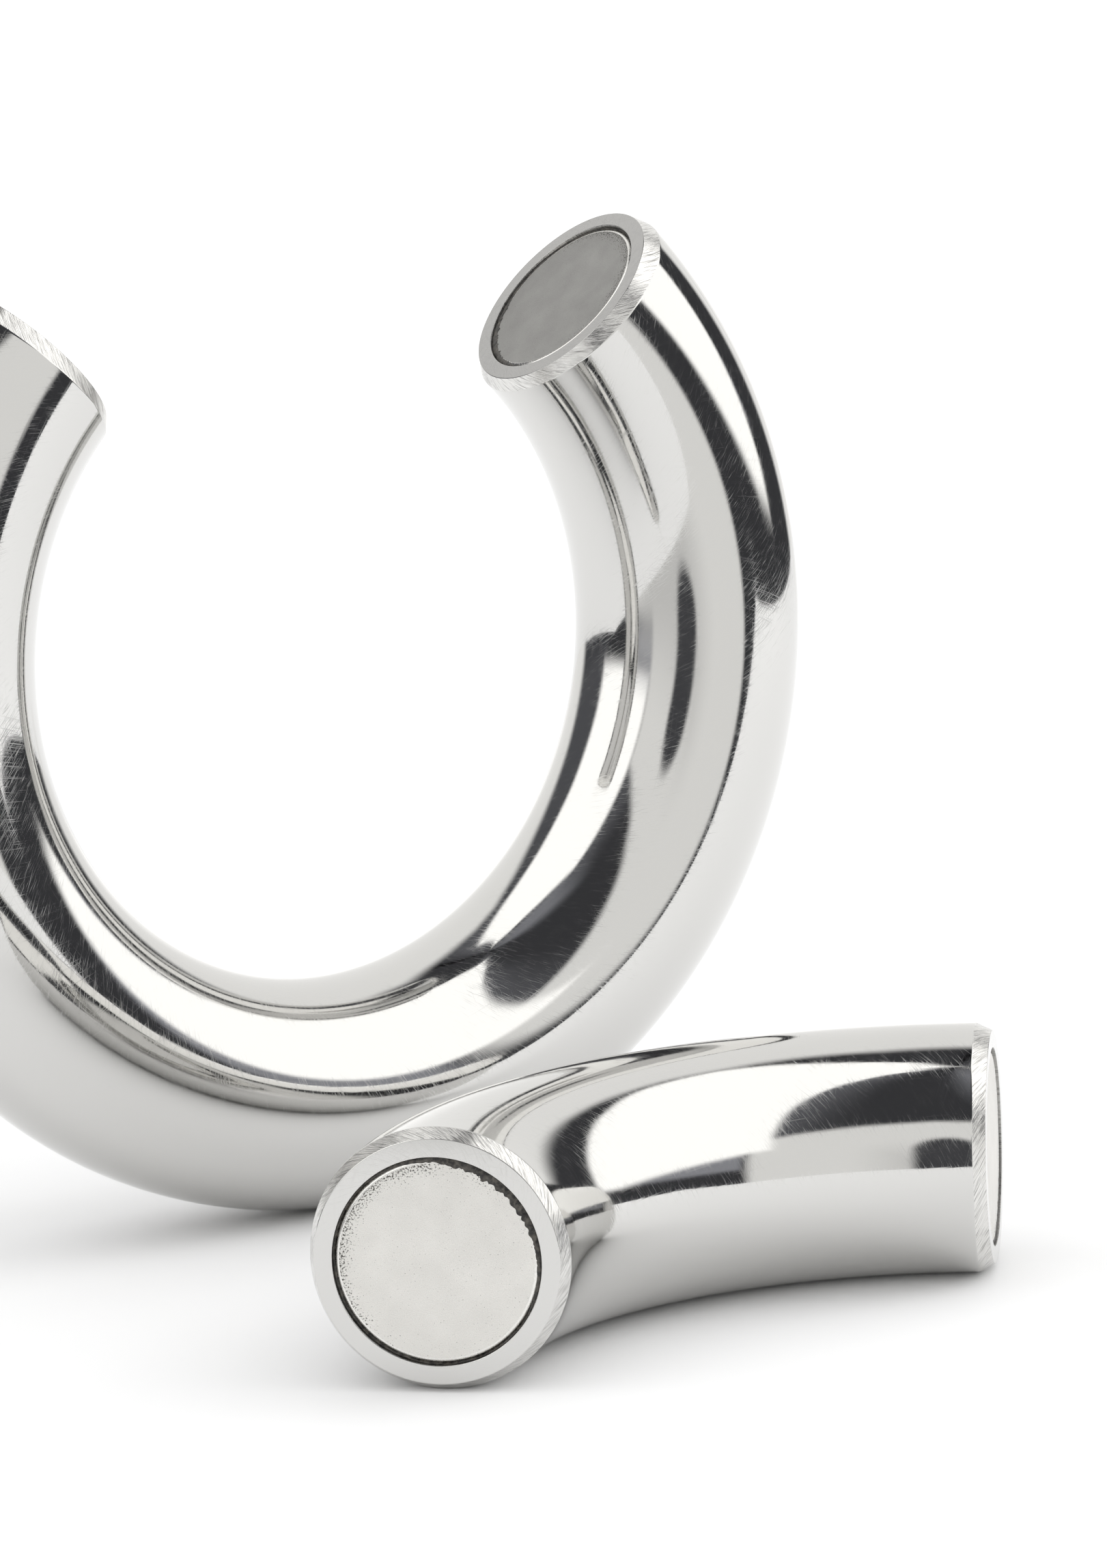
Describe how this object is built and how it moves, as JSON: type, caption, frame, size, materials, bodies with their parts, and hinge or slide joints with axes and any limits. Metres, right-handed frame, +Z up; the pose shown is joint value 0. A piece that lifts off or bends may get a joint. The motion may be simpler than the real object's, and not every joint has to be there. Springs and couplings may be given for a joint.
{
  "type": "magnetic split ring",
  "caption": "Polished round-bar ring cut into a large and a small arc, with disc magnets glued into the cut ends so the small arc snaps in and closes the ring.",
  "frame": {"origin": "on the table, at the middle of the footprint of the two arcs as they rest: the large arc standing on its rim and the small arc lying in front of it", "axes": "+Z up, +X along the large arc's width to the right seen from the front, +Y to the back along the large arc's ring axis"},
  "size_m": [0.073, 0.0566, 0.0628],
  "materials": {
    "polished_steel": "mirror-polished stainless steel with faint hairline scratches, brushed chamfers",
    "magnet_plating": "nickel plating with a fine matte grain and bright rounded edges",
    "adhesive": "dark cured epoxy adhesive, uneven"
  },
  "bodies": {
    "large_arc_body": {"large_arc": "polished_steel", "large_arc_left_glue": "adhesive", "large_arc_left_magnet": "magnet_plating", "large_arc_right_glue": "adhesive", "large_arc_right_magnet": "magnet_plating"},
    "small_arc_body": {"small_arc": "polished_steel", "small_arc_near_glue": "adhesive", "small_arc_near_magnet": "magnet_plating", "small_arc_far_glue": "adhesive", "small_arc_far_magnet": "magnet_plating"}
  },
  "joints": [
    {"name": "closing_swing", "type": "hinge", "parent": "large_arc_body", "child": "small_arc_body", "pos_m": [0, -0.0259, 0.05415], "axis": [1, 0, 0], "range_deg": [-270, 0]}
  ]
}
